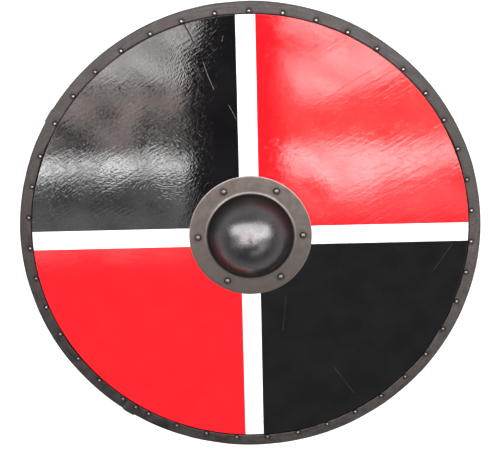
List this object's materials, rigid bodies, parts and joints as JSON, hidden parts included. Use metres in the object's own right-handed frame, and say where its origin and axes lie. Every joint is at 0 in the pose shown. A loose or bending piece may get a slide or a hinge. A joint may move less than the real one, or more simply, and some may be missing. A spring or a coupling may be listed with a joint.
{
  "type": "wooden round shield",
  "caption": "Flat round wooden shield painted in quarters, with a riveted steel rim, a domed steel boss over the hand hole and a wooden grip across the back.",
  "frame": {"origin": "centre of the disc, in the plane of the rim's back, on which the shield lies", "axes": "+Z out of the painted face, along the boss; +Y towards the top of the shield as it is carried; +X to the right, seen from the front, along the grip"},
  "size_m": [0.762, 0.762, 0.0684],
  "materials": {
    "painted_board": "gloss lacquer over paint: two black and two red quarters, parted by white bands",
    "rim_steel": "dark blackened steel, satin",
    "boss_steel": "dark browned steel, satin to semi-gloss",
    "rivet_steel": "dark steel with bright rubbed crowns",
    "grip_wood": "oiled"
  },
  "bodies": {
    "root": {"board": "painted_board", "rim_strip_long": "rim_steel", "rim_strip_short": "rim_steel", "boss": "boss_steel", "grip": "grip_wood", "rim_rivet_long_1": "rivet_steel", "rim_rivet_long_2": "rivet_steel", "rim_rivet_long_3": "rivet_steel", "rim_rivet_long_4": "rivet_steel", "rim_rivet_long_5": "rivet_steel", "rim_rivet_long_6": "rivet_steel", "rim_rivet_long_7": "rivet_steel", "rim_rivet_long_8": "rivet_steel", "rim_rivet_long_9": "rivet_steel", "rim_rivet_long_10": "rivet_steel", "rim_rivet_long_11": "rivet_steel", "rim_rivet_long_12": "rivet_steel", "rim_rivet_long_13": "rivet_steel", "rim_rivet_long_14": "rivet_steel", "rim_rivet_long_15": "rivet_steel", "rim_rivet_long_16": "rivet_steel", "rim_rivet_long_17": "rivet_steel", "rim_rivet_long_18": "rivet_steel", "rim_rivet_long_19": "rivet_steel", "rim_rivet_long_20": "rivet_steel", "rim_rivet_long_21": "rivet_steel", "rim_rivet_long_22": "rivet_steel", "rim_rivet_long_23": "rivet_steel", "rim_rivet_long_24": "rivet_steel", "rim_rivet_long_25": "rivet_steel", "rim_rivet_long_26": "rivet_steel", "rim_rivet_long_27": "rivet_steel", "rim_rivet_long_28": "rivet_steel", "rim_rivet_long_29": "rivet_steel", "rim_rivet_long_30": "rivet_steel", "rim_rivet_long_31": "rivet_steel", "rim_rivet_long_32": "rivet_steel", "rim_rivet_short_1": "rivet_steel", "rim_rivet_short_2": "rivet_steel", "rim_rivet_short_3": "rivet_steel", "rim_rivet_short_4": "rivet_steel", "rim_rivet_short_5": "rivet_steel", "rim_rivet_short_6": "rivet_steel", "rim_rivet_short_7": "rivet_steel", "rim_rivet_short_8": "rivet_steel", "rim_rivet_short_9": "rivet_steel", "rim_rivet_short_10": "rivet_steel", "rim_rivet_lap_1": "rivet_steel", "rim_rivet_lap_2": "rivet_steel", "boss_rivet_1": "rivet_steel", "boss_rivet_2": "rivet_steel", "boss_rivet_3": "rivet_steel", "boss_rivet_4": "rivet_steel", "boss_rivet_5": "rivet_steel", "boss_rivet_6": "rivet_steel"}
  },
  "joints": []
}
